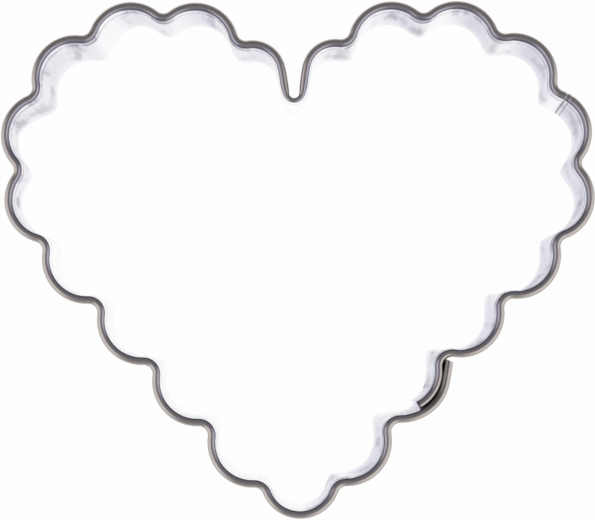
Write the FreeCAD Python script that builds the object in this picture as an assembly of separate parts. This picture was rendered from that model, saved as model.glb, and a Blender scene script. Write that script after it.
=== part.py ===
import FreeCAD, Part
import math
import os
from collections import namedtuple

# A scalloped heart cookie cutter. One strip of thin steel stands on edge and is bent into the heart.
# Its top edge is rolled outward into a rim, its lower edge cuts. The two ends of the strip lap
# low on the right side, where spot welds join them.
# Millimetres, +Z up, the notch towards +Y and the tip towards -Y.

# Strip
strip_thickness = 0.3
strip_height = 22.0      # cutting edge to the top of the rim
rim_bore = 0.85          # hollow inside the rolled rim

# Corners that draw the roll, in degrees round it from its outer side: outward from the top of the wall,
# three quarters of a turn. They are few because the roll runs round the whole heart.
rim_corners = (180, 135, 90, 45, 0, -90)
bore_corners = (180, 45, -90)

# Scallops: pitch and rise are measured on the middle of the wall, hollow radii outside the rim
hollow_radius = 1.5      # hollows between the scallops
lobe_scallops = 5        # round each upper lobe
lobe_pitch = 12.83       # hollow to hollow
lobe_rise = 3.52         # crest above the line through its two hollows
lobe_start = 17.0        # degrees, slope of the scallop next to the shoulder
lobe_turn = 31.25        # degrees from one scallop to the next
side_scallops = 4        # along each straight side
side_pitch = 13.94
side_rise = 3.22
tip_pitch = 11.4         # between the hollows on both sides of the tip scallop
tip_rise = 4.4
tip_radius = 5.5

# Notch between the upper lobes, with a round shoulder on each side
notch_depth = 10.75      # from the first hollows down to its floor
notch_radius = 0.7       # outside the rim
notch_flare = 0.65       # widening of each leg from floor to shoulder
shoulder_radius = 4.4
shoulder_drop = 5.45     # centre of the shoulder below the first hollow
first_hollow = 9.77      # hollow after the shoulder, from the middle of the heart

# Lap of the strip's ends, on the last scallop but one of the right side
right_turn = 29.4        # degrees, the right lobe is wound a little wider than the left
right_tilt = 2.9         # degrees, and leans down by this much
lap_shift = 0.55         # the right run stops short of its even place, along the side
lap_inset = 0.82         # and lies this much further in
lap_pitch = 14.3         # hollow to hollow of the lap scallop
lap_gap = 0.08           # between the two rims
lap_clearance = 0.03     # between the two walls where they are welded
lap_lean = 5.4           # height below the rim in which the outer wall leans out to clear it
inner_end_angle = 18.8   # degrees past the crest of the lap scallop, towards the tip
outer_end_angle = 34.5   # degrees past the crest, away from the tip
outer_end_run = 3.2      # straight end of the strip after that
parting_angle = 11.0     # degrees past the crest, where the outer wall leaves the inner one again
parting_radius = 9.0     # of the outer wall from there on, towards the tip

# Spot welds
weld_diameter = 1.6
weld_angle = 20.0        # degrees past the crest of the lap scallop, away from the tip
weld_margin = 2.2        # from the ends of the touching height to the middle of a weld

half_thickness = strip_thickness / 2
rim_radius = rim_bore / 2 + strip_thickness
rim_height = strip_height - rim_radius
rim_offset = rim_radius - half_thickness
rim_reach = rim_offset + rim_radius
wall_hollow = hollow_radius + rim_reach
lap_spacing = 2 * rim_radius + lap_gap
lap_contact = rim_height - lap_lean
weld_heights = (weld_margin, lap_contact - weld_margin)

Vector = FreeCAD.Vector
Circle = namedtuple("Circle", "centre radius")
Bend = namedtuple("Bend", "centre radius start sweep")
Run = namedtuple("Run", "start end")


def polar(angle, length=1.0):
    return Vector(length * math.cos(angle), length * math.sin(angle), 0)


def heading(vector):
    return math.atan2(vector.y, vector.x)


def opposite(point):
    return Vector(-point.x, point.y, 0)


def mirrored(circle):
    return Circle(opposite(circle.centre), circle.radius)


# Outline of the heart, followed clockwise as seen from above, so the outside is on the left.

def scallop(before, after, rise, turn=0.0):
    """Circle that rises between two hollows, in a row that bends by turn at each hollow."""
    half = before.distanceToPoint(after) / 2
    sine = math.sin(turn / 2)
    cosine = math.cos(turn / 2)
    chord = (half + wall_hollow * sine) ** 2 + (rise - wall_hollow * cosine) ** 2 - wall_hollow ** 2
    radius = chord / (2 * (rise + wall_hollow * (1 - cosine)))
    outward = polar(heading(after - before) + math.pi / 2)
    return Circle((before + after) * 0.5 + outward * (rise - radius), radius)


def lobe_row(turn, tilt=0.0):
    """Scallops round the upper lobe on +X, and the hollow after the last of them."""
    circles = []
    hollow = Vector(first_hollow, 0, 0)
    slope = math.radians(lobe_start - tilt)
    for _ in range(lobe_scallops):
        after = hollow + polar(slope, lobe_pitch)
        circles.append(scallop(hollow, after, lobe_rise, math.radians(lobe_turn)))
        hollow = after
        slope -= math.radians(turn)
    return circles, hollow


def side_row(start, end, count):
    """Scallops in a straight row between two hollows."""
    step = (end - start) * (1 / count)
    return [scallop(start + step * i, start + step * (i + 1), side_rise) for i in range(count)]


def hollow_between(first, second):
    """Hollow tangent to two neighbouring scallops, on the outside of both."""
    along = second.centre - first.centre
    side = Vector(-along.y, along.x, 0).normalize()
    reach_first = first.radius + wall_hollow
    reach_second = second.radius + wall_hollow
    share = (reach_first ** 2 - reach_second ** 2 + along.Length ** 2) / (2 * along.Length ** 2)
    height = math.sqrt(reach_first ** 2 - (share * along.Length) ** 2)
    return Circle(first.centre + along * share + side * height, wall_hollow)


def clockwise(circle, start, end):
    return Bend(circle.centre, circle.radius, start, -((start - end) % (2 * math.pi)))


def anticlockwise(circle, start, end):
    return Bend(circle.centre, circle.radius, start, (end - start) % (2 * math.pi))


def chain(circles, start, end):
    """Scallops joined by hollows, from an angle on the first circle to one on the last."""
    pieces = []
    for first, second in zip(circles, circles[1:]):
        hollow = hollow_between(first, second)
        leave = heading(hollow.centre - first.centre)
        arrive = heading(second.centre - hollow.centre)
        pieces.append(clockwise(first, start, leave))
        pieces.append(anticlockwise(hollow, leave + math.pi, arrive))
        start = arrive + math.pi
    pieces.append(clockwise(circles[-1], start, end))
    return pieces


# Even half of the heart, built on +X
lobe, side_start = lobe_row(lobe_turn)
side_length = side_scallops * side_pitch
side_angle = -math.acos((tip_pitch / 2 - side_start.x) / side_length)
side_end = side_start + polar(side_angle, side_length)
side = side_row(side_start, side_end, side_scallops)
tip = Circle(Vector(0, side_end.y - tip_rise + tip_radius, 0), tip_radius)

# Right run, which ends inside the lap one scallop above the tip's neighbour
right_lobe, right_start = lobe_row(right_turn, right_tilt)
side_out = polar(side_angle + math.pi / 2)
even_end = side_end - polar(side_angle, side_pitch)
right_end = even_end - polar(side_angle, lap_shift) - side_out * lap_inset
right_angle = heading(right_end - right_start)
lap_start = right_end - polar(right_angle, lap_pitch)
right_side = side_row(right_start, lap_start, side_scallops - 2)
lap = scallop(lap_start, right_end, side_rise)
lap_out = right_angle + math.pi / 2
inner_lap = Circle(lap.centre, lap.radius - lap_spacing / 2)
outer_lap_radius = lap.radius + lap_spacing / 2
welded_radius = inner_lap.radius + strip_thickness + lap_clearance

# Notch and shoulders
notch_bend = notch_radius + rim_reach
notch = Circle(Vector(0, notch_bend - notch_depth, 0), notch_bend)
shoulder = Circle(Vector(notch_bend + shoulder_radius + notch_flare, -shoulder_drop, 0), shoulder_radius)
notch_span = shoulder.centre - notch.centre
leg_angle = heading(notch_span) - math.acos((notch_bend + shoulder_radius) / notch_span.Length)
leg_foot = notch.centre + polar(leg_angle, notch_bend)
leg_top = shoulder.centre - polar(leg_angle, shoulder_radius)

# Scallop between the lap and the tip, at whose crest the leaning end of the strip begins
lap_neighbour = side[-1]
neighbour_crest = side_angle + math.pi / 2


def lap_end(radius, parted_radius):
    """Outer end of the strip, as far as the crest of the next scallop, at the radii given."""
    start = lap_out + math.radians(outer_end_angle)
    parting = lap_out + math.radians(parting_angle)
    corner = lap.centre + polar(start, radius)
    straight = Run(corner + polar(start + math.pi / 2, outer_end_run), corner)
    beside = clockwise(Circle(lap.centre, radius), start, parting)
    parted = Circle(lap.centre + polar(parting, radius - parted_radius), parted_radius)
    return [straight, beside] + chain([parted, lap_neighbour], parting, neighbour_crest)


def main_run():
    """The rest of the strip, round the tip, the left half, the notch and the right half."""
    left = [mirrored(circle) for circle in reversed([shoulder] + lobe + side)]
    right = [shoulder] + right_lobe + right_side + [inner_lap]
    down_leg = Run(opposite(leg_top), opposite(leg_foot))
    up_leg = Run(leg_foot, leg_top)
    floor = anticlockwise(notch, math.pi - leg_angle, leg_angle)
    left_pieces = chain([lap_neighbour, tip] + left, neighbour_crest, -leg_angle)
    right_pieces = chain(right, leg_angle + math.pi, lap_out - math.radians(inner_end_angle))
    return left_pieces + [down_leg, floor, up_leg] + right_pieces


# Solids from the outline

def edge(piece, offset, height):
    """Edge of one piece of the outline, moved outward by offset and up to a height."""
    lift = Vector(0, 0, height)
    if isinstance(piece, Run):
        shift = polar(heading(piece.end - piece.start) + math.pi / 2, offset) + lift
        return Part.LineSegment(piece.start + shift, piece.end + shift).toShape()
    radius = piece.radius - math.copysign(offset, piece.sweep)
    points = [piece.centre + polar(piece.start + piece.sweep * part, radius) + lift for part in (0, 0.5, 1)]
    return Part.Arc(*points).toShape()


def backward(piece):
    if isinstance(piece, Run):
        return Run(piece.end, piece.start)
    return Bend(piece.centre, piece.radius, piece.start + piece.sweep, -piece.sweep)


def rim_section(pieces, foot):
    """Section of the strip above a height, square to the start of the pieces: wall and rolled rim."""
    first = edge(pieces[0], 0, 0)
    start = first.valueAt(first.FirstParameter)
    outward = polar(heading(first.tangentAt(first.FirstParameter)) + math.pi / 2)

    def place(out, height):
        return start + outward * out + Vector(0, 0, height)

    def roll(radius, degrees):
        angles = [math.radians(angle) for angle in degrees]
        return [place(rim_offset + radius * math.cos(a), rim_height + radius * math.sin(a)) for a in angles]

    corners = roll(rim_radius, rim_corners) + roll(rim_bore / 2, bore_corners)[::-1]
    if foot < rim_height:
        corners += [place(half_thickness, foot), place(-half_thickness, foot)]
    return Part.Face(Part.makePolygon(corners + corners[:1]))


def swept(pieces, foot):
    path = Part.Wire([edge(piece, 0, 0) for piece in pieces])
    return path.makePipe(rim_section(pieces, foot))


def wall_ring(pieces, height):
    """Outline of the wall's own thickness at a height."""
    outside = [edge(piece, half_thickness, height) for piece in pieces]
    inside = [edge(backward(piece), half_thickness, height) for piece in reversed(pieces)]
    near = Part.LineSegment(inside[-1].lastVertex(True).Point, outside[0].firstVertex(True).Point)
    far = Part.LineSegment(outside[-1].lastVertex(True).Point, inside[0].firstVertex(True).Point)
    return Part.Wire(outside + [far.toShape()] + inside + [near.toShape()])


def lap_wall():
    """Wall of the outer end: along the inner wall where it is welded, then out to clear the rim."""
    welded = lap_end(welded_radius, parting_radius)
    rings = [wall_ring(welded, 0), wall_ring(welded, lap_contact), wall_ring(outer_end, rim_height)]
    return Part.makeLoft(rings, True, True)


def weld_at(height):
    """Round of both walls, melted into one, at a height."""
    level = lap.centre + Vector(0, 0, height)
    foot = level - Vector(0, 0, weld_diameter)
    walls = Part.makeCylinder(weld_outside, 2 * weld_diameter, foot)
    walls = walls.cut(Part.makeCylinder(weld_inside, 2 * weld_diameter, foot))
    return Part.makeCylinder(weld_diameter / 2, 2 * weld_outside, level, weld_out).common(walls)


weld_inside = inner_lap.radius - half_thickness
weld_outside = welded_radius + half_thickness
weld_out = polar(lap_out + math.radians(weld_angle))
welds = [weld_at(height) for height in weld_heights]

strip = swept(main_run(), 0)
outer_end = lap_end(outer_lap_radius, outer_lap_radius)
strip = strip.fuse([lap_wall(), swept(outer_end, rim_height)])
strip = strip.removeSplitter().cut(welds)

# Stand the cutter on its cutting edge, with the middle of its box on the origin
middle = strip.optimalBoundingBox(False).Center
os.makedirs("parts", exist_ok=True)
for name, shape in (("cutter_strip", strip), ("spot_welds", Part.makeCompound(welds))):
    shape.translate(Vector(-middle.x, -middle.y, 0))
    shape.exportStep(f"parts/{name}.step")
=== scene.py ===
import math
from collections import namedtuple

import bmesh
import bpy
import numpy as np
from bpy.props import FloatProperty, FloatVectorProperty, IntProperty, PointerProperty
from mathutils import Matrix, Vector
from mathutils.bvhtree import BVHTree


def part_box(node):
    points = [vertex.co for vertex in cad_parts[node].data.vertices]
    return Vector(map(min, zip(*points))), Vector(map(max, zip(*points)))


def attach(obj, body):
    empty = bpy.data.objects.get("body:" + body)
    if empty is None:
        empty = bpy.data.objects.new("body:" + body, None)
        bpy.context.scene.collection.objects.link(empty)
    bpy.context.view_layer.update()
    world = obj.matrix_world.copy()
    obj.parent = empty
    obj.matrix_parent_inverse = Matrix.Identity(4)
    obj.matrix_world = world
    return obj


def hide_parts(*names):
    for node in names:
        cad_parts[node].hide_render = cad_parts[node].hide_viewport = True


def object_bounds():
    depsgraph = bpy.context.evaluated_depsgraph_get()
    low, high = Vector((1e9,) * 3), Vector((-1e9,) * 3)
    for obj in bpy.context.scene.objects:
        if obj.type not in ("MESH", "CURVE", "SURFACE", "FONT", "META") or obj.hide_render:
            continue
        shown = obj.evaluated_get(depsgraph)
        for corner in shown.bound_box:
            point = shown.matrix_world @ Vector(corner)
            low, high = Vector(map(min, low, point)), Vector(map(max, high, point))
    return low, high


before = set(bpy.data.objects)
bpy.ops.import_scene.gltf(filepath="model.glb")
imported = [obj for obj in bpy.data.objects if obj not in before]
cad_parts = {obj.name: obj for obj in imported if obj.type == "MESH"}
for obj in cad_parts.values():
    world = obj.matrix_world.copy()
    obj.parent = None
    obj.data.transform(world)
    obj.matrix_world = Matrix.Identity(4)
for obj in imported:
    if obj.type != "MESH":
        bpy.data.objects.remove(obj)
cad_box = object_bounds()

# A scalloped heart cookie cutter of bent steel strip, dressed over its CAD frame.
# The strip is drawn again with a round rim and with coordinates that run along it for its finish.

bl_info = {
    "name": "Scalloped heart cutter",
    "version": (1, 0, 0),
    "blender": (4, 5, 0),
    "location": "View3D > Sidebar > Cutter",
    "description": "Builds the looks of a steel strip cookie cutter and its studio",
    "category": "Object",
}

# Width of the picture in points
IMAGE_WIDTH = 595
MM = 0.001
# Points closer than this are one, or equally high
TOUCHING = 0.001 * MM
STRIP_NODE = "cutter_strip"
WELD_NODE = "spot_welds"


class StripSettings(bpy.types.PropertyGroup):
    """Sizes and colours of the steel strip"""

    thickness: FloatProperty(
        name="Thickness", description="Thickness of the steel", default=0.3 * MM, unit="LENGTH")
    rim_radius: FloatProperty(
        name="Rim radius", description="Outside radius of the rolled rim", default=0.725 * MM, unit="LENGTH")
    rim_turn: FloatProperty(
        name="Rim turn", description="Angle that the rim is rolled through",
        default=math.radians(270), subtype="ANGLE")
    rim_steps: IntProperty(
        name="Rim steps", description="Faces round the rolled rim", default=24)
    step: FloatProperty(
        name="Step", description="Length of one face along the strip", default=0.4 * MM, unit="LENGTH")
    lap_reach: FloatProperty(
        name="Lap reach", description="Length of the outer end that may lean",
        default=26 * MM, unit="LENGTH")
    lap_part: FloatProperty(
        name="Lap parting",
        description="Share of its lean that the outer wall loses as it leaves the inner end", default=0.58)
    sway: FloatProperty(
        name="Sway", description="How far the cutting edge is bent out of its place",
        default=0.58 * MM, unit="LENGTH")
    fold: FloatProperty(
        name="Fold", description="How sharp the hollows between the scallops are at the cutting edge",
        default=0.72)
    fold_left: FloatProperty(
        name="Fold left", description="Share of the fold that the hollows of the left lobe have",
        default=0.55)
    end_slant: FloatProperty(
        name="End slant", description="Slope of the cut at the outer end of the strip", default=0.3)
    end_nudge: FloatProperty(
        name="End nudge", description="How far the rim's outer end is pressed towards the inner one",
        default=0.22 * MM, unit="LENGTH")
    notch_squeeze: FloatProperty(
        name="Notch squeeze", description="Share of its width that the rim loses in the bend of the notch",
        default=0.35)
    crease_height: FloatProperty(
        name="Crease", description="Height of the fine crease below the rim",
        default=18.9 * MM, unit="LENGTH")
    crease_depth: FloatProperty(
        name="Crease depth", description="Width of the ledge at the crease",
        default=0.055 * MM, unit="LENGTH")
    mark_place: FloatVectorProperty(
        name="Mark", description="Point of the rim between the two cross marks", subtype="TRANSLATION",
        size=2, default=(46.0 * MM, 26.25 * MM))
    mark_gap: FloatProperty(
        name="Mark gap", description="Distance between the two cross marks", default=0.85 * MM, unit="LENGTH")
    mark_slant: FloatProperty(
        name="Mark slant", description="Slope of the cross marks along the strip", default=0.024)
    # Lit copy of the wall colour: painted light where the wall faces the light
    bright: FloatVectorProperty(
        name="Bright steel", description="Colour of the wall where it is bright",
        subtype="COLOR", default=(0.985, 0.987, 1.0), min=0, max=1)
    # Shaded copy of the wall colour: painted shade where the wall faces away from the light
    shaded_wall: FloatVectorProperty(
        name="Dull steel", description="Colour of the wall where handling has dulled it",
        subtype="COLOR", default=(0.47, 0.47, 0.63), min=0, max=1)
    # Shaded copy of the wall colour for the outside of the strip: painted shade
    shaded_outside: FloatVectorProperty(
        name="Dull outside", description="Colour of the dulled steel on the outside of the strip",
        subtype="COLOR", default=(0.53, 0.525, 0.57), min=0, max=1)
    # Also the colour of painted shade at the cross marks, at the inner cut end and under the crease
    smudge: FloatVectorProperty(
        name="Smudge", description="Colour of the wall under a smudge",
        subtype="COLOR", default=(0.17, 0.15, 0.22), min=0, max=1)
    # The rim colours below are painted reflections and painted shade round the roll: its crest, flanks, outer
    # edge and the line where it leaves the wall
    rim: FloatVectorProperty(
        name="Rim", description="Colour of the steel on the crest of the rolled rim",
        subtype="COLOR", default=(0.46, 0.41, 0.44), min=0, max=1)
    rim_inside_reflection: FloatVectorProperty(
        name="Rim inside", description="Colour of the inner flank of the rim",
        subtype="COLOR", default=(0.475, 0.442, 0.503), min=0, max=1)
    rim_shaded: FloatVectorProperty(
        name="Rim shaded", description="Colour of the rim's flank that faces the other rim in the lap",
        subtype="COLOR", default=(0.25, 0.232, 0.228), min=0, max=1)
    rim_line_shade: FloatVectorProperty(
        name="Rim line", description="Colour of the dark line where the rim meets the wall",
        subtype="COLOR", default=(0.225, 0.207, 0.272), min=0, max=1)
    rim_outside_reflection: FloatVectorProperty(
        name="Rim outside", description="Colour of the outer flank of the rim",
        subtype="COLOR", default=(0.57, 0.525, 0.49), min=0, max=1)
    rim_edge_shade: FloatVectorProperty(
        name="Rim edge", description="Colour of the outer edge of the rim",
        subtype="COLOR", default=(0.37, 0.335, 0.305), min=0, max=1)


class WeldSettings(bpy.types.PropertyGroup):
    """Sizes and colours of the marks that the welds leave"""

    ring_height: FloatProperty(
        name="Ring height", description="Height of the ring round a weld mark",
        default=0.035 * MM, unit="LENGTH")
    color: FloatVectorProperty(
        name="Weld", description="Colour of the dulled steel of a weld",
        subtype="COLOR", default=(0.48, 0.47, 0.5), min=0, max=1)


class StageSettings(bpy.types.PropertyGroup):
    """Camera, floor and light of the studio"""

    camera_place: FloatVectorProperty(
        name="Camera", description="Place of the camera", subtype="TRANSLATION",
        default=(0.404 * MM, -17.818 * MM, 492.77 * MM))
    camera_target: FloatVectorProperty(
        name="Target", description="Point in the middle of the picture", subtype="TRANSLATION",
        default=(-0.279 * MM, -0.326 * MM, 22 * MM))
    camera_roll: FloatProperty(
        name="Roll", description="Lean of the camera to the left",
        default=math.radians(0.906), subtype="ANGLE")
    scale: FloatProperty(
        name="Scale", description="Picture points to the millimetre at the target", default=5.918)
    floor_color: FloatVectorProperty(
        name="Floor", description="Colour of the floor",
        subtype="COLOR", default=(0.9, 0.9, 0.9), min=0, max=1)
    floor_size: FloatProperty(
        name="Floor size", description="Width of the floor", default=6.0, unit="LENGTH")
    floor_drop: FloatProperty(
        name="Floor drop", description="How far the floor lies below the cutting edge",
        default=0.02 * MM, unit="LENGTH")


# Node trees

def feed(tree, value, socket):
    """Links an output to an input, or sets the input to a plain value."""
    if isinstance(value, bpy.types.NodeSocket):
        tree.links.new(value, socket)
    else:
        socket.default_value = value


def add(tree, kind, **values):
    """Adds a node. Values that name one of its settings go there, the rest to its inputs."""
    node = tree.nodes.new(kind)
    for name, value in values.items():
        if hasattr(node, name):
            setattr(node, name, value)
        else:
            feed(tree, value, node.inputs[name])
    return node


def math_node(tree, operation, *values):
    """Result of one step of arithmetic."""
    node = add(tree, "ShaderNodeMath", operation=operation)
    for socket, value in zip(node.inputs, values):
        feed(tree, value, socket)
    return node.outputs[0]


def times(tree, result, *factors):
    """Product of an output and other outputs or numbers."""
    for factor in factors:
        result = math_node(tree, "MULTIPLY", result, factor)
    return result


def ramp(tree, value, low, high, to_low=0.0, to_high=1.0):
    """Smooth step of a value between two limits."""
    node = add(tree, "ShaderNodeMapRange", interpolation_type="SMOOTHSTEP", Value=value)
    for name, number in (("From Min", low), ("From Max", high), ("To Min", to_low), ("To Max", to_high)):
        node.inputs[name].default_value = number
    return node.outputs["Result"]


def stretched(tree, place, along_scale, across_scale):
    """A place on the strip with its distances along and across it scaled."""
    scale = add(tree, "ShaderNodeCombineXYZ", X=along_scale, Y=across_scale)
    node = add(tree, "ShaderNodeVectorMath", operation="MULTIPLY")
    feed(tree, place, node.inputs[0])
    feed(tree, scale.outputs[0], node.inputs[1])
    return node.outputs[0]


def mix_color(tree, factor, first, second):
    """Mix of two colours, each an output or a plain colour."""
    node = add(tree, "ShaderNodeMix", data_type="RGBA", Factor=factor)
    for name, color in (("A", first), ("B", second)):
        is_output = isinstance(color, bpy.types.NodeSocket)
        feed(tree, color if is_output else (*color, 1.0), node.inputs[name])
    return node.outputs["Result"]


def new_group(name, numbers, output):
    """Empty shader node group with a place and some numbers as inputs, and its two end nodes."""
    group = bpy.data.node_groups.new(name, "ShaderNodeTree")
    group.interface.new_socket("Place", in_out="INPUT", socket_type="NodeSocketVector")
    for label, default in numbers.items():
        socket = group.interface.new_socket(label, in_out="INPUT", socket_type="NodeSocketFloat")
        socket.default_value = default
    group.interface.new_socket(output, in_out="OUTPUT", socket_type="NodeSocketFloat")
    return group, group.nodes.new("NodeGroupInput").outputs, group.nodes.new("NodeGroupOutput").inputs


def rolled_grain_group(name):
    """Fine lines that the rolling mill leaves along the strip, as a value from 0 to 1."""
    group, entry, result = new_group(name, {"Lines per metre": 9000.0}, "Grain")
    breaks_per_metre = 120.0
    place = stretched(group, entry["Place"], breaks_per_metre, entry["Lines per metre"])
    noise = add(group, "ShaderNodeTexNoise", Vector=place, Scale=1.0, Detail=2.0, Roughness=0.55)
    group.links.new(noise.outputs["Fac"], result["Grain"])
    return group


def smudge_group(name):
    """Cloudy finger marks with fine specks, as a value from 0 to 1."""
    numbers = {"Along per metre": 260.0, "Across per metre": 60.0, "Amount": 0.5}
    group, entry, result = new_group(name, numbers, "Smudge")
    place = stretched(group, entry["Place"], entry["Along per metre"], entry["Across per metre"])
    longer = stretched(group, place, 1.0, 0.45)
    broad = add(group, "ShaderNodeTexNoise", Vector=place, Scale=1.0, Detail=1.0, Roughness=0.5)
    fine = add(group, "ShaderNodeTexNoise", Vector=longer, Scale=3.5, Detail=3.0, Roughness=0.6)
    fine_share = 0.35
    cloud = math_node(group, "ADD", times(group, broad.outputs["Fac"], 1 - fine_share),
                      times(group, fine.outputs["Fac"], fine_share))

    # The more smudges there are, the lower the level that the cloud has to pass
    highest_level = 0.72
    level_drop = 0.4
    level = math_node(group, "SUBTRACT", highest_level, times(group, entry["Amount"], level_drop))
    over = math_node(group, "SUBTRACT", cloud, level)
    group.links.new(ramp(group, over, -0.05, 0.17), result["Smudge"])
    return group


def place_group(tree, name, **values):
    """Puts one of the shared groups into a material, with _ for a space in the names of its inputs."""
    builders = {"Rolled grain": rolled_grain_group, "Smudges": smudge_group}
    group = bpy.data.node_groups.get(name) or builders[name](name)
    node = add(tree, "ShaderNodeGroup", node_tree=group)
    for label, value in values.items():
        feed(tree, value, node.inputs[label.replace("_", " ")])
    return node.outputs[0]


def new_material(name):
    """New material, its node tree and its shader."""
    material = bpy.data.materials.new(name)
    material.use_nodes = True
    tree = material.node_tree
    return material, tree, tree.nodes["Principled BSDF"]


# Finish of the strip

# Where a point of the strip lies, as outputs of nodes: its place on the strip laid flat, the distances along
# and across it, the turn round the roll, how far it is outside and inside, how much painted shade it gets,
# and how far it is in a hollow
Spot = namedtuple("Spot", "place along across turn outside inside handled hollow")
# Limits of the turn between which the outside of the wall begins
OUTSIDE_TURN = (1.9, 2.0)


def strip_spot(tree, lay):
    """Where a point of the strip lies, read from its mesh.

    The turn is 0 where the roll leaves the wall, a third on its crest and 1 at its end. From there it goes on
    in the bore of the roll, and is over 2 on the outside of the wall.
    """
    place = add(tree, "ShaderNodeUVMap", uv_map="strip_run").outputs["UV"]
    parts = add(tree, "ShaderNodeSeparateXYZ", Vector=place).outputs
    turn = math_node(tree, "DIVIDE", math_node(tree, "SUBTRACT", parts["Y"], lay.wall), lay.roll)
    outside = ramp(tree, turn, *OUTSIDE_TURN)
    inside = math_node(tree, "SUBTRACT", 1.0, outside)
    handled, hollow = (add(tree, "ShaderNodeAttribute", attribute_name=name).outputs["Fac"]
                       for name in ("handled", "hollow"))
    # The outside of the wall gets painted shade as well
    outside_shade_share = 0.9
    handled = math_node(tree, "MAXIMUM", handled, times(tree, outside, outside_shade_share))
    return Spot(place, parts["X"], parts["Y"], turn, outside, inside, handled, hollow)


def wall_shade_share(tree, spot, crease):
    """How much painted shade darkens the wall: where the shade mask is, less at the cutting edge and above
    the crease.
    """
    above_edge = ramp(tree, spot.across, 0.0, 8 * MM, 0.55, 1.0)
    below_crease = ramp(tree, spot.across, crease - 0.1 * MM, crease + 0.1 * MM, 1.0, 0.75)
    return times(tree, spot.handled, above_edge, below_crease)


def smudge_share(tree, spot):
    """Finger marks where the wall has painted shade, fewer at the cutting edge and on the outside."""
    smudge = place_group(tree, "Smudges", Place=spot.place, Amount=0.5)
    handled = ramp(tree, spot.handled, 0.0, 0.5)
    above_edge = ramp(tree, spot.across, 0.0, 7 * MM, 0.25, 1.0)
    fewer_outside = ramp(tree, spot.turn, *OUTSIDE_TURN, 1.0, 0.5)
    return times(tree, smudge, handled, above_edge, fewer_outside)


def crease_shade_share(tree, spot, crease):
    """Painted shade, made patchy with noise, in a line under the crease, and up to the rim in the hollows."""
    patchy_shade = place_group(tree, "Smudges", Place=spot.place, Along_per_metre=190.0, Across_per_metre=10.0,
                       Amount=0.75)
    handled = ramp(tree, spot.handled, 0.02, 0.15)
    near_rim = ramp(tree, spot.across, crease - 1.5 * MM, crease - 0.8 * MM)
    in_line = ramp(tree, spot.across, crease - 0.1 * MM, crease, 0.75, 0.0)
    in_hollow = ramp(tree, spot.hollow, 0.3, 1.0, 0.0, 0.9)
    shaded_places = math_node(tree, "MAXIMUM", in_line, in_hollow)
    return times(tree, patchy_shade, handled, near_rim, spot.inside, shaded_places)


def rim_share(tree, spot):
    """Where the rim's colours begin: at the wall where the painted shade is full, and further up the roll
    where the wall is painted lit.
    """
    lit_part = ramp(tree, spot.handled, 0.0, 1.0, 0.13, 0.0)
    past_lit = math_node(tree, "SUBTRACT", spot.turn, lit_part)
    return times(tree, ramp(tree, past_lit, -0.03, 0.05), spot.inside)


def rim_color(tree, spot, settings, lay):
    """Painted reflection bands and shade round the roll, with painted shade where it faces the other rim in
    the lap and at the inner cut end.
    """
    # The colour stops round the roll are painted reflections, with a painted shade line where the roll leaves
    # the wall
    bands = add(tree, "ShaderNodeValToRGB", Fac=spot.turn)
    stops = bands.color_ramp.elements
    stops.remove(stops[1])
    stops[0].position = 0.17
    stops[0].color = (*settings.rim_line_shade, 1)
    for turn, color in ((0.25, settings.rim_inside_reflection), (1 / 3, settings.rim), (0.46, settings.rim_outside_reflection),
                        (0.58, settings.rim_edge_shade)):
        stops.new(turn).color = (*color, 1)
    # Painted shade on the rim's flank that faces the other rim in the lap
    in_lap = ramp(tree, spot.along, 8 * MM, 11 * MM, 1.0, 0.0)
    inner_flank = ramp(tree, spot.turn, 0.28, 0.38, 0.9, 0.0)
    color = mix_color(tree, times(tree, in_lap, inner_flank), bands.outputs["Color"], settings.rim_shaded)
    # Painted shade on the inner cut end of the roll, in the smudge colour
    end = lay.run[-1]
    cut_end_shade = ramp(tree, spot.along, end - 0.45 * MM, end - 0.25 * MM, 0.0, 0.9)
    return mix_color(tree, cut_end_shade, color, settings.smudge)


def cross_marks(tree, spot, settings, lay):
    """Two crease lines across the strip, the second one fainter, as a value from 0 to 1, for their painted
    shade and glints.
    """
    down = math_node(tree, "SUBTRACT", lay.wall, spot.across)
    slanted = math_node(tree, "SUBTRACT", spot.along, times(tree, down, settings.mark_slant))
    half_gap = settings.mark_gap / 2
    lines = []
    for offset, width, strength in ((-half_gap, 0.36 * MM, 1.0), (half_gap, 0.32 * MM, 0.6)):
        away = math_node(tree, "ABSOLUTE", math_node(tree, "SUBTRACT", slanted, lay.mark + offset))
        lines.append(ramp(tree, away, 0.35 * width, 0.65 * width, strength, 0.0))
    return math_node(tree, "MAXIMUM", *lines)


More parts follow.
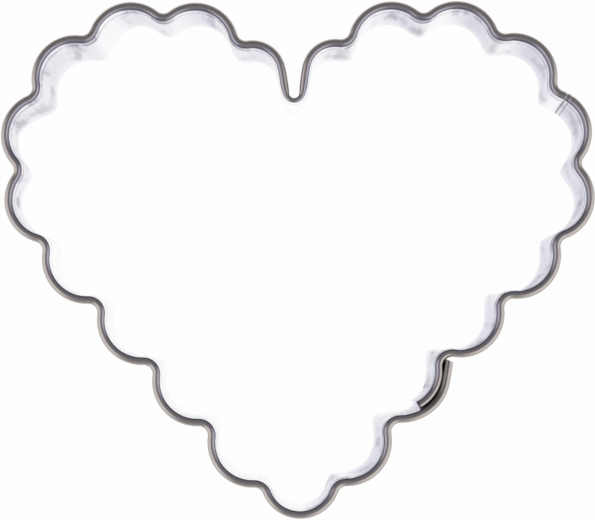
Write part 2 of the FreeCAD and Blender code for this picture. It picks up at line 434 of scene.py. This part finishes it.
def strip_material(settings, lay):
    """Bright rolled steel with painted light and shade: a painted shaded side, a rim painted darker with
    reflection bands, smudges on the shaded side and two creases across the strip.

    The creases are painted as shade on the wall and as glints on the rim.
    """
    material, tree, steel = new_material("strip steel")
    spot = strip_spot(tree, lay)
    crease = settings.crease_height
    smudge = smudge_share(tree, spot)
    on_rim = rim_share(tree, spot)
    marks = cross_marks(tree, spot, settings, lay)
    smudge_strength = 0.62
    mark_strength = 0.85
    # The creases are painted: as shade on the wall and as glints on the rim
    mark_shade = times(tree, marks, ramp(tree, spot.turn, 0.0, 0.12, 1.0, 0.0))
    mark_glints = times(tree, marks, ramp(tree, spot.turn, 0.12, 0.25, 0.0, 0.8))

    # Lit and shaded copies of the wall colour, mixed by the painted shade mask
    shaded_wall = mix_color(tree, spot.outside, settings.shaded_wall, settings.shaded_outside)
    color = mix_color(tree, wall_shade_share(tree, spot, crease), settings.bright, shaded_wall)
    color = mix_color(tree, times(tree, smudge, smudge_strength), color, settings.smudge)
    # Painted shade under the crease and in the hollows
    color = mix_color(tree, crease_shade_share(tree, spot, crease), color, settings.smudge)
    # Painted reflection bands round the rim
    color = mix_color(tree, on_rim, color, rim_color(tree, spot, settings, lay))
    color = mix_color(tree, times(tree, mark_shade, mark_strength), color, settings.smudge)
    color = mix_color(tree, mark_glints, color, settings.bright)
    tree.links.new(color, steel.inputs["Base Color"])
    steel.inputs["Metallic"].default_value = 1.0

    # The grain and the marks make the steel rougher, and the rim is smoother than the wall
    least_rough = 0.13
    grain = place_group(tree, "Rolled grain", Place=spot.place)
    rough = math_node(tree, "ADD", times(tree, grain, 0.08), least_rough)
    for share, change in ((smudge, 0.12), (on_rim, -0.07), (mark_shade, 0.2)):
        rough = math_node(tree, "ADD", rough, times(tree, share, change))
    tree.links.new(rough, steel.inputs["Roughness"])
    bump = add(tree, "ShaderNodeBump", Strength=0.05, Distance=0.01 * MM, Height=grain)
    tree.links.new(bump.outputs["Normal"], steel.inputs["Normal"])
    return material


def weld_material(settings):
    """Steel dulled and darkened by the weld."""
    material, tree, steel = new_material("weld steel")
    place = tree.nodes.new("ShaderNodeTexCoord").outputs["Object"]
    grain = place_group(tree, "Rolled grain", Place=place)
    smudge = place_group(tree, "Smudges", Place=place, Along_per_metre=1400.0, Across_per_metre=1400.0,
                         Amount=0.7)
    burnt_share = 0.65
    burnt = tuple(burnt_share * part for part in settings.color)
    tree.links.new(mix_color(tree, smudge, settings.color, burnt), steel.inputs["Base Color"])
    steel.inputs["Metallic"].default_value = 1.0
    least_rough = 0.3
    rough = math_node(tree, "ADD", times(tree, grain, 0.2), least_rough)
    tree.links.new(rough, steel.inputs["Roughness"])
    return material


# Line of the strip

# The strip along the crest of its rim: points, distances along it, its direction and the way out of the heart
Line = namedtuple("Line", "crest run direction outward")


def rim_crest(mesh):
    """Crest of the rim in the CAD mesh, in order from the outer end of the strip, heart on the right."""
    points = np.empty(3 * len(mesh.vertices))
    mesh.vertices.foreach_get("co", points)
    points = points.reshape(-1, 3)
    pairs = np.empty(2 * len(mesh.edges), int)
    mesh.edges.foreach_get("vertices", pairs)
    on_crest = points[:, 2] > points[:, 2].max() - TOUCHING
    pairs = pairs.reshape(-1, 2)
    pairs = pairs[on_crest[pairs].all(axis=1)]
    decimals = 7
    spots, index = np.unique(np.round(points[:, :2], decimals), axis=0, return_inverse=True)
    index = index.reshape(-1)
    beside = {}
    for a, b in index[pairs]:
        if a != b:
            beside.setdefault(a, set()).add(b)
            beside.setdefault(b, set()).add(a)
    ends = [spot for spot, near in beside.items() if len(near) == 1]
    if len(ends) != 2:
        raise RuntimeError(f"the rim's crest has {len(ends)} ends")
    order = [ends[0]]
    came_from = None
    while True:
        ahead = [spot for spot in beside[order[-1]] if spot != came_from]
        if not ahead:
            break
        came_from = order[-1]
        order.append(ahead[0])
    crest = spots[order]
    after = np.roll(crest, -1, axis=0)
    turns_left = np.sum(crest[:, 0] * after[:, 1] - crest[:, 1] * after[:, 0]) > 0
    return crest[::-1] if turns_left else crest


def along(points):
    """Distance along a row of points."""
    return np.concatenate(([0.0], np.cumsum(np.linalg.norm(np.diff(points, axis=0), axis=1))))


def even_run(points, step):
    """The same line, smooth and with even steps."""
    place = along(points)
    slope = np.gradient(points, place, axis=0)
    wanted = np.linspace(0, place[-1], round(place[-1] / step) + 1)
    last = np.clip(np.searchsorted(place, wanted, side="right"), 1, len(place) - 1)
    first = last - 1
    span = (place[last] - place[first])[:, None]
    part = (wanted - place[first])[:, None] / span
    square = part ** 2
    cube = part ** 3
    line = (2 * cube - 3 * square + 1) * points[first] + (3 * square - 2 * cube) * points[last]
    return line + (cube - 2 * square + part) * span * slope[first] + (cube - square) * span * slope[last]


def strip_line(settings):
    """Line of the strip in even steps, from its outer end."""
    crest = even_run(rim_crest(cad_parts[STRIP_NODE].data), settings.step)
    run = along(crest)
    direction = np.gradient(crest, run, axis=0)
    direction /= np.linalg.norm(direction, axis=1)[:, None]
    outward = np.stack((-direction[:, 1], direction[:, 0]), axis=1)
    return Line(crest, run, direction, outward)


def smooth_share(value, low, high):
    """Smooth step from 0 to 1 between two limits."""
    share = np.clip((value - low) / (high - low), 0, 1)
    return share ** 2 * (3 - 2 * share)


def running_mean(values, stations):
    """Mean of each value and its neighbours along the strip."""
    padded = np.pad(values, stations // 2, mode="edge")
    return np.convolve(padded, np.ones(stations) / stations, mode="valid")


def from_notch(crest):
    """Distance of each point from the lowest point of the rim between the two lobes."""
    half_width = 5 * MM
    between = (np.abs(crest[:, 0]) < half_width) & (crest[:, 1] > 0)
    bottom = crest[between][np.argmin(crest[between][:, 1])]
    return np.linalg.norm(crest - bottom, axis=1)


def outward_bend(line, stations):
    """Bend of the strip, as one over its radius, as a mean of some stations: above 0 on a scallop."""
    facing = np.unwrap(np.arctan2(line.outward[:, 1], line.outward[:, 0]))
    return np.convolve(-np.gradient(facing, line.run), np.ones(stations) / stations, mode="same")


def bulge_share(line):
    """How much each place along the strip bulges outward: 1 on a scallop, 0 in the hollow between two."""
    hollow_bend = -200
    scallop_bend = 150
    return smooth_share(outward_bend(line, 9), hollow_bend, scallop_bend)


def hollow_runs(line):
    """First and last station of each hollow between two scallops, without the notch."""
    least_steps = 3
    hollow_bend = -100
    clear = from_notch(line.crest) > 9 * MM
    inside = np.concatenate(([False], (outward_bend(line, 3) < hollow_bend) & clear, [False]))
    changes = np.nonzero(inside[1:] != inside[:-1])[0]
    return [(first, end - 1) for first, end in zip(changes[::2], changes[1::2]) if end - first > least_steps]


def sharp_fold(points, direction, hollows):
    """How each place moves when the round hollows of a line become sharp folds."""
    shift = np.zeros_like(points)
    for first, last in hollows:
        start = points[first]
        end = points[last]
        reach = np.linalg.solve(np.stack((direction[first], direction[last]), axis=1), end - start)
        corner = start + reach[0] * direction[first]
        share = np.linspace(0, 1, last - first + 1)[:, None]
        before = start + (corner - start) * 2 * share
        after = corner + (end - corner) * (2 * share - 1)
        shift[first:last + 1] = np.where(share < 0.5, before, after) - points[first:last + 1]
    return shift


def sharp_facing(outward, hollows):
    """The way that the wall faces when each hollow is a sharp fold."""
    facing = outward.copy()
    for first, last in hollows:
        middle = (first + last + 1) // 2
        facing[first:middle] = outward[first]
        facing[middle:last + 1] = outward[last]
    return facing


def shade_by_facing(line, facing, bulge, mark):
    """How much painted shade each place along the strip gets, mostly by the way its wall faces.

    The right side is painted shaded, the upper side mostly where it faces right, and the lower left is
    painted lit.
    The notch and a patch before the cross marks are painted lit too.
    """
    left_shaded = 0.5
    least_shaded = 0.1
    hollow_share = 0.8
    bright_patch_share = 0.15
    x, y = line.crest.T
    to_right = facing[:, 0]
    right = smooth_share(to_right, -0.1, 0.5) * smooth_share(x, -3 * MM, 6 * MM)
    left = left_shaded * smooth_share(-x, 36 * MM, 42 * MM)

    # The scallops of the right lobe stay painted lit further round than those of the left one
    to_right = to_right - 0.3 * smooth_share(x, 14 * MM, 22 * MM)
    upper = np.maximum(left, least_shaded + 0.6 * smooth_share(to_right, -0.7, 0.15))
    upper = upper * smooth_share(y, 3 * MM, 9 * MM)
    share = np.maximum(right, upper) * (hollow_share + (1 - hollow_share) * bulge)
    share = running_mean(share, 5) * smooth_share(from_notch(line.crest), 5 * MM, 11 * MM)
    from_bright_patch = smooth_share(np.abs(line.run - mark + 1.4 * MM), 0.5 * MM, 1.9 * MM)
    return share * (bright_patch_share + (1 - bright_patch_share) * from_bright_patch)


# Shape of the strip

# Where things lie on the strip: distances along and across it, height of the wall, length of the roll,
# place of the cross marks, and how much painted shade and how hollow each place along it is
Lay = namedtuple("Lay", "run across wall roll mark handled hollow")


def wall_lean(node, line, heights, settings):
    """How far the CAD wall stands inside its place under the rim, by place along the strip and height."""
    lean = np.zeros((len(line.crest), len(heights)))
    tree = BVHTree.FromObject(node, bpy.context.evaluated_depsgraph_get())
    plain = settings.thickness - settings.rim_radius
    start = 3 * MM
    for i in np.nonzero(line.run < settings.lap_reach)[0]:
        origin = line.crest[i] + line.outward[i] * start
        for j, height in enumerate(heights):
            hit = tree.ray_cast((*origin, height), (*-line.outward[i], 0.0), 2 * start)
            # A ray through the hole that a weld fills meets nothing, so the lean goes on from the last place
            lean[i, j] = lean[i - 1, j] if hit[0] is None else plain - (start - hit[3])
    least_lean = 0.02 * MM
    lean[lean < least_lean] = 0
    return np.apply_along_axis(running_mean, 0, lean, 5)


def edge_sway(line, settings):
    """How the cutting edge is bent out of its place under the rim, by place along the strip.

    The lower right side is bent to the left, but not at the inner end of the lap, and most on the scallop
    between the lap and the tip. The left side is bent outward, and the upper left side inward.
    """
    x, y = line.crest.T
    run = line.run
    lower_right = smooth_share(-y, -12 * MM, 6 * MM) * smooth_share(x, 0, 10 * MM)
    up_to_lap = lower_right * smooth_share(run[-1] - run, 1 * MM, 7 * MM)
    outer_end = 1 - smooth_share(run, 2.2 * MM, 9.9 * MM)
    beside_tip = 1.85 * smooth_share(run, 13 * MM, 17 * MM)
    from_lap = (outer_end + beside_tip) * (1 - smooth_share(run, 26 * MM, 42 * MM))
    to_left = np.where(run < 45 * MM, from_lap, up_to_lap)

    left_lobe = smooth_share(-x, 26 * MM, 34 * MM)
    upper = smooth_share(y, 22 * MM, 30 * MM)
    left_side = left_lobe * smooth_share(y, 3 * MM, 9 * MM) * (1 - upper)
    shift = np.outer(to_left, (-1.0, 0.0))
    shift += np.outer(left_side, (-1.1, 0.9))
    shift += np.outer(left_lobe * upper, (1.7, -1.0))
    return settings.sway * shift


def edge_fold(line, hollows, settings):
    """How the cutting edge moves in the hollows, where the strip is folded sharper than at its rim."""
    on_right = smooth_share(line.crest[:, 0], -8 * MM, 0)
    sharp = settings.fold * (settings.fold_left + (1 - settings.fold_left) * on_right)
    wall = line.crest - line.outward * settings.rim_radius
    return sharp[:, None] * sharp_fold(wall, line.direction, hollows)


def edge_share(height, settings):
    """Share of the cutting edge's bends that the wall has at a height."""
    return np.clip(1 - height / settings.crease_height, 0, 1)


def strip_sections(node, settings):
    """Both faces of the strip as points by place along it and across it, and how it is laid out."""
    line = strip_line(settings)
    crest, run, direction, outward = line
    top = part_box(STRIP_NODE)[1].z
    crease = settings.crease_height
    ledge = crease + settings.crease_depth
    support = 0.03 * MM
    rows = np.array([0.0, 2.5, 5, 7.5, 10, 12.5, 14.5, 15.875, 17, 18]) * MM
    rows = np.append(rows, (crease - support, crease, ledge, ledge + support))

    # The outer wall parts from the inner one, and all round the wall comes in a little up to the crease
    lowest_ray = 0.2 * MM
    lean = wall_lean(node, line, np.clip(rows, lowest_ray, None), settings)
    lean *= 1 - settings.lap_part * smooth_share(run, 9.8 * MM, 12 * MM)[:, None]
    lean += np.where(rows < ledge, settings.crease_depth * (rows / crease) ** 4, 0)
    nudge = (settings.end_nudge * (1 - smooth_share(run, 2 * MM, 8 * MM)))[:, None]
    lean += nudge * rows / top

    # The roll is squeezed thinner in the tight bend of the notch, and cut at a slant at the outer end
    tight = 1 - smooth_share(from_notch(crest), 0.8 * MM, 3.2 * MM)
    rim = (settings.rim_radius * (1 - settings.notch_squeeze * tight))[:, None]
    angles = math.pi - settings.rim_turn * np.arange(settings.rim_steps + 1) / settings.rim_steps
    slant_reach = 4 * settings.step
    cut = settings.end_slant * (1 - run / slant_reach).clip(0)

    hollows = hollow_runs(line)
    bend = edge_sway(line, settings) + edge_fold(line, hollows, settings)
    faces = []
    for radius in (rim, rim - settings.thickness):
        out = np.concatenate((-radius - lean, radius * np.cos(angles) - nudge), axis=1)
        roll_heights = top - rim + radius * np.sin(angles)
        height = np.concatenate((np.broadcast_to(rows, lean.shape), roll_heights), axis=1)
        slide = (out + settings.rim_radius) * cut[:, None]
        flat = crest[:, None] + outward[:, None] * out[:, :, None] + direction[:, None] * slide[:, :, None]
        flat += bend[:, None] * edge_share(height, settings)[:, :, None]
        points = np.concatenate((flat, height[:, :, None]), axis=2)
        faces.append(np.clip(points, cad_box[0], cad_box[1]))

    wall = top - settings.rim_radius
    across = np.concatenate((rows, wall + settings.rim_radius * (math.pi - angles)))
    mark = run[np.argmin(np.linalg.norm(crest - np.array(settings.mark_place), axis=1))]
    bulge = bulge_share(line)
    handled = shade_by_facing(line, sharp_facing(outward, hollows), bulge, mark)
    return faces, Lay(run, across, wall, across[-1] - wall, mark, handled, 1 - bulge)


def strip_mesh(node, settings):
    """Closed mesh of the whole strip, with a map of the distance along and across it."""
    (inner, outer), lay = strip_sections(node, settings)
    run = lay.run
    across = lay.across
    stations, rows = inner.shape[:2]
    section = np.concatenate((inner, outer[:, ::-1]), axis=1)
    width = 2 * rows
    reach = np.concatenate((across, 2 * across[-1] + settings.thickness - across[::-1]))
    corners = []
    maps = []
    for i in range(stations - 1):
        for j in range(width):
            k = (j + 1) % width
            corners.append((i * width + j, i * width + k, (i + 1) * width + k, (i + 1) * width + j))
            far = reach[k] if k else reach[-1] + settings.thickness
            maps += [(run[i], reach[j]), (run[i], far), (run[i + 1], far), (run[i + 1], reach[j])]
    for i, flip in ((0, True), (stations - 1, False)):
        for j in range(rows - 1):
            ring = [j, j + 1, width - 2 - j, width - 1 - j]
            if flip:
                ring.reverse()
            corners.append(tuple(i * width + k for k in ring))
            maps += [(run[i], reach[k]) for k in ring]
    mesh = bpy.data.meshes.new("steel_strip")
    mesh.from_pydata(section.reshape(-1, 3).tolist(), [], corners)
    layer = mesh.uv_layers.new(name="strip_run")
    layer.data.foreach_set("uv", np.array(maps, np.float32).ravel())
    for name, values in (("handled", lay.handled), ("hollow", lay.hollow)):
        shares = mesh.attributes.new(name, "FLOAT", "POINT")
        shares.data.foreach_set("value", np.repeat(values, width).astype(np.float32))
    shape = bmesh.new()
    shape.from_mesh(mesh)
    finish_mesh(shape, mesh, sharp_angle=50)
    return mesh, lay


def finish_mesh(shape, mesh, sharp_angle):
    """Writes a shape to a mesh, with its faces turned outward and smooth between sharp edges."""
    bmesh.ops.recalc_face_normals(shape, faces=shape.faces)
    shape.to_mesh(mesh)
    shape.free()
    mesh.shade_smooth()
    mesh.set_sharp_from_angle(angle=math.radians(sharp_angle))


def show(mesh, material, name):
    """Adds a piece to the scene, on the part's one body."""
    piece = bpy.data.objects.new(name, mesh)
    bpy.context.scene.collection.objects.link(piece)
    mesh.materials.append(material)
    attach(piece, "root")
    return piece


class CUTTER_OT_strip(bpy.types.Operator):
    """Draws the strip with its round rim over the CAD strip"""

    bl_idname = "cutter.strip"
    bl_label = "Steel strip"

    def execute(self, context):
        settings = context.scene.cutter_strip
        mesh, lay = strip_mesh(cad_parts[STRIP_NODE], settings)
        piece = show(mesh, strip_material(settings, lay), "steel_strip")
        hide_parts(STRIP_NODE)
        return {"FINISHED"}


# Welds

def loose_parts(mesh):
    """Groups of points of a mesh that hang together."""
    shape = bmesh.new()
    shape.from_mesh(mesh)
    bmesh.ops.remove_doubles(shape, verts=shape.verts, dist=TOUCHING)
    left = set(shape.verts)
    parts = []
    while left:
        todo = [left.pop()]
        part = []
        while todo:
            vertex = todo.pop()
            part.append(vertex.co.copy())
            for edge in vertex.link_edges:
                other = edge.other_vert(vertex)
                if other in left:
                    left.remove(other)
                    todo.append(other)
        parts.append(part)
    shape.free()
    return parts


# Rings of a weld mark from its middle outward: share of its radius, and share of the ring's height
WELD_RINGS = ((0.25, 0.3), (0.5, 0.3), (0.66, 0.45), (0.78, 1.0), (0.88, 0.9), (0.97, -0.4))
WELD_STEPS = 32


def weld_mark(shape, points, tree, settings, shift):
    """Adds to a mesh one weld, with a low ring and a flat middle on both faces of the wall.

    The shift is how far the wall is bent out of its place at a point and height.
    """
    center = sum(points, Vector()) / len(points)
    flat = np.array([point.xy - center.xy for point in points])
    thin = np.linalg.eigh(flat.T @ flat)[1][:, 0]
    outward = Vector((thin[0], thin[1], 0))
    if outward.dot(center) < 0:
        outward = -outward
    sideways = outward.cross(Vector((0, 0, 1)))
    radius = max(abs(point.z - center.z) for point in points)
    start = 3 * MM

    def on_face(facing, share, angle, height):
        away = (sideways * math.cos(angle) + Vector((0, 0, math.sin(angle)))) * share * radius
        hit = tree.ray_cast(center + away + facing * start, -facing, 2 * start)[0]
        if hit is None:
            raise RuntimeError("a weld's face has a hole")
        hit.xy += shift(center, hit.z)
        return shape.verts.new(hit + facing * height * settings.ring_height)

    caps = []
    angles = [2 * math.pi * i / WELD_STEPS for i in range(WELD_STEPS)]
    for facing in (outward, -outward):
        middle = on_face(facing, 0, 0, WELD_RINGS[0][1])
        circles = []
        for share, height in WELD_RINGS:
            circles.append([on_face(facing, share, angle, height) for angle in angles])
        for i in range(WELD_STEPS):
            shape.faces.new((middle, circles[0][i - 1], circles[0][i]))
            for near, far in zip(circles, circles[1:]):
                shape.faces.new((near[i - 1], far[i - 1], far[i], near[i]))
        caps.append(circles[-1])
    for i in range(WELD_STEPS):
        shape.faces.new((caps[0][i - 1], caps[0][i], caps[1][i], caps[1][i - 1]))


class CUTTER_OT_welds(bpy.types.Operator):
    """Draws the marks of the spot welds on both faces of the lap"""

    bl_idname = "cutter.welds"
    bl_label = "Weld marks"

    def execute(self, context):
        settings = context.scene.cutter_welds
        strip = context.scene.cutter_strip
        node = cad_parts[WELD_NODE]
        tree = BVHTree.FromObject(node, context.evaluated_depsgraph_get())
        line = strip_line(strip)
        sway = edge_sway(line, strip)

        def shift(center, height):
            nearest = np.argmin(np.linalg.norm(line.crest - np.array(center.xy), axis=1))
            return Vector(sway[nearest] * edge_share(height, strip))

        shape = bmesh.new()
        for points in loose_parts(node.data):
            weld_mark(shape, points, tree, settings, shift)
        mesh = bpy.data.meshes.new("weld_marks")
        finish_mesh(shape, mesh, sharp_angle=60)
        piece = show(mesh, weld_material(settings), "weld_marks")
        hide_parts(WELD_NODE)
        return {"FINISHED"}


# Studio

def floor_material(settings):
    """White floor that keeps the shadow: most of what shows is its own light, the rest is lit."""
    material, tree, shader = new_material("floor")
    tree.nodes.remove(shader)
    lit = add(tree, "ShaderNodeBsdfDiffuse", Color=(*settings.floor_color, 1.0))
    white = add(tree, "ShaderNodeEmission", Color=(1, 1, 1, 1), Strength=1.0)
    rays = tree.nodes.new("ShaderNodeLightPath").outputs
    seen = math_node(tree, "MAXIMUM", rays["Is Camera Ray"], rays["Is Glossy Ray"])
    seen = math_node(tree, "MAXIMUM", seen, rays["Is Transmission Ray"])
    own_light = 0.98
    mixed = tree.nodes.new("ShaderNodeMixShader")
    for socket, output in zip(mixed.inputs, (times(tree, seen, own_light), lit.outputs[0], white.outputs[0])):
        tree.links.new(output, socket)
    tree.links.new(mixed.outputs[0], tree.nodes["Material Output"].inputs["Surface"])
    return material


# Broad lights of the room, front left and front right: bearing, and how close to it a direction has to be,
# as a cosine, for the light to begin and to be full
ROOM_LIGHTS = ((math.radians(-165), 0.616, 0.951), (math.radians(-28), 0.45, 0.94))


def room_light(world):
    """Soft light of the room by direction: dim overhead and behind, with two broad lights in front."""
    world.use_nodes = True
    tree = world.node_tree
    sky = tree.nodes["Background"]
    toward = tree.nodes.new("ShaderNodeTexCoord").outputs["Generated"]
    parts = add(tree, "ShaderNodeSeparateXYZ", Vector=toward).outputs
    even_level = 0.32
    more_in_front = 0.12
    lamp_level = 0.64
    level = math_node(tree, "SUBTRACT", even_level, times(tree, parts["Y"], more_in_front))
    not_overhead = ramp(tree, parts["Z"], 0.83, 1.0, lamp_level, 0.0)
    flat = add(tree, "ShaderNodeCombineXYZ", X=parts["X"], Y=parts["Y"])
    bearing = add(tree, "ShaderNodeVectorMath", operation="NORMALIZE")
    tree.links.new(flat.outputs[0], bearing.inputs[0])
    for angle, begins, full in ROOM_LIGHTS:
        near = add(tree, "ShaderNodeVectorMath", operation="DOT_PRODUCT")
        tree.links.new(bearing.outputs[0], near.inputs[0])
        near.inputs[1].default_value = (math.cos(angle), math.sin(angle), 0)
        share = ramp(tree, near.outputs["Value"], begins, full)
        level = math_node(tree, "ADD", level, times(tree, share, not_overhead))
    color = add(tree, "ShaderNodeCombineColor", Red=level, Green=level, Blue=level)
    tree.links.new(color.outputs[0], sky.inputs["Color"])
    sky.inputs["Strength"].default_value = 1.0


def add_camera(settings):
    """Camera at its place, turned to its target and with a lens that gives the picture's scale."""
    place = Vector(settings.camera_place)
    view = Vector(settings.camera_target) - place
    up = Matrix.Rotation(-settings.camera_roll, 3, "Z") @ Vector((0, 1, 0))
    right = view.cross(up).normalized()
    up = right.cross(view).normalized()
    data = bpy.data.cameras.new("camera")
    data.sensor_fit = "HORIZONTAL"
    data.lens = settings.scale / MM * view.length * data.sensor_width / IMAGE_WIDTH
    data.clip_start = 0.01
    data.clip_end = 50
    camera = bpy.data.objects.new("camera", data)
    bpy.context.scene.collection.objects.link(camera)
    turn = Matrix((right, up, -view.normalized())).transposed()
    camera.matrix_world = Matrix.Translation(place) @ turn.to_4x4()
    bpy.context.scene.camera = camera


class CUTTER_OT_stage(bpy.types.Operator):
    """Sets up the camera, the floor and the light"""

    bl_idname = "cutter.stage"
    bl_label = "Studio"

    def execute(self, context):
        settings = context.scene.cutter_stage
        shape = bmesh.new()
        bmesh.ops.create_grid(shape, x_segments=1, y_segments=1, size=settings.floor_size / 2)
        mesh = bpy.data.meshes.new("floor")
        shape.to_mesh(mesh)
        shape.free()
        mesh.materials.append(floor_material(settings))
        floor = bpy.data.objects.new("floor", mesh)
        floor.location.z = -settings.floor_drop
        context.scene.collection.objects.link(floor)
        world = bpy.data.worlds.new("room")
        context.scene.world = world
        room_light(world)
        add_camera(settings)
        context.scene.view_settings.view_transform = "Standard"
        return {"FINISHED"}


class VIEW3D_PT_cutter(bpy.types.Panel):
    """Steps that build the cutter"""

    bl_label = "Cutter"
    bl_space_type = "VIEW_3D"
    bl_region_type = "UI"
    bl_category = "Cutter"

    def draw(self, context):
        scene = context.scene
        for operator, settings in STEPS:
            box = self.layout.box()
            box.operator(operator.bl_idname)
            group = getattr(scene, settings)
            for name in group.__annotations__:
                box.prop(group, name)


STEPS = (
    (CUTTER_OT_strip, "cutter_strip"),
    (CUTTER_OT_welds, "cutter_welds"),
    (CUTTER_OT_stage, "cutter_stage"),
)
SETTINGS = (
    ("cutter_strip", StripSettings),
    ("cutter_welds", WeldSettings),
    ("cutter_stage", StageSettings),
)
CLASSES = tuple(kind for _, kind in SETTINGS) + tuple(step for step, _ in STEPS) + (VIEW3D_PT_cutter,)


def register():
    for kind in CLASSES:
        bpy.utils.register_class(kind)
    for name, kind in SETTINGS:
        setattr(bpy.types.Scene, name, PointerProperty(type=kind))


def unregister():
    for name, _ in SETTINGS:
        delattr(bpy.types.Scene, name)
    for kind in reversed(CLASSES):
        bpy.utils.unregister_class(kind)


def main():
    register()
    bpy.ops.cutter.strip()
    bpy.ops.cutter.welds()
    bpy.ops.cutter.stage()


if __name__ == "__main__":
    main()
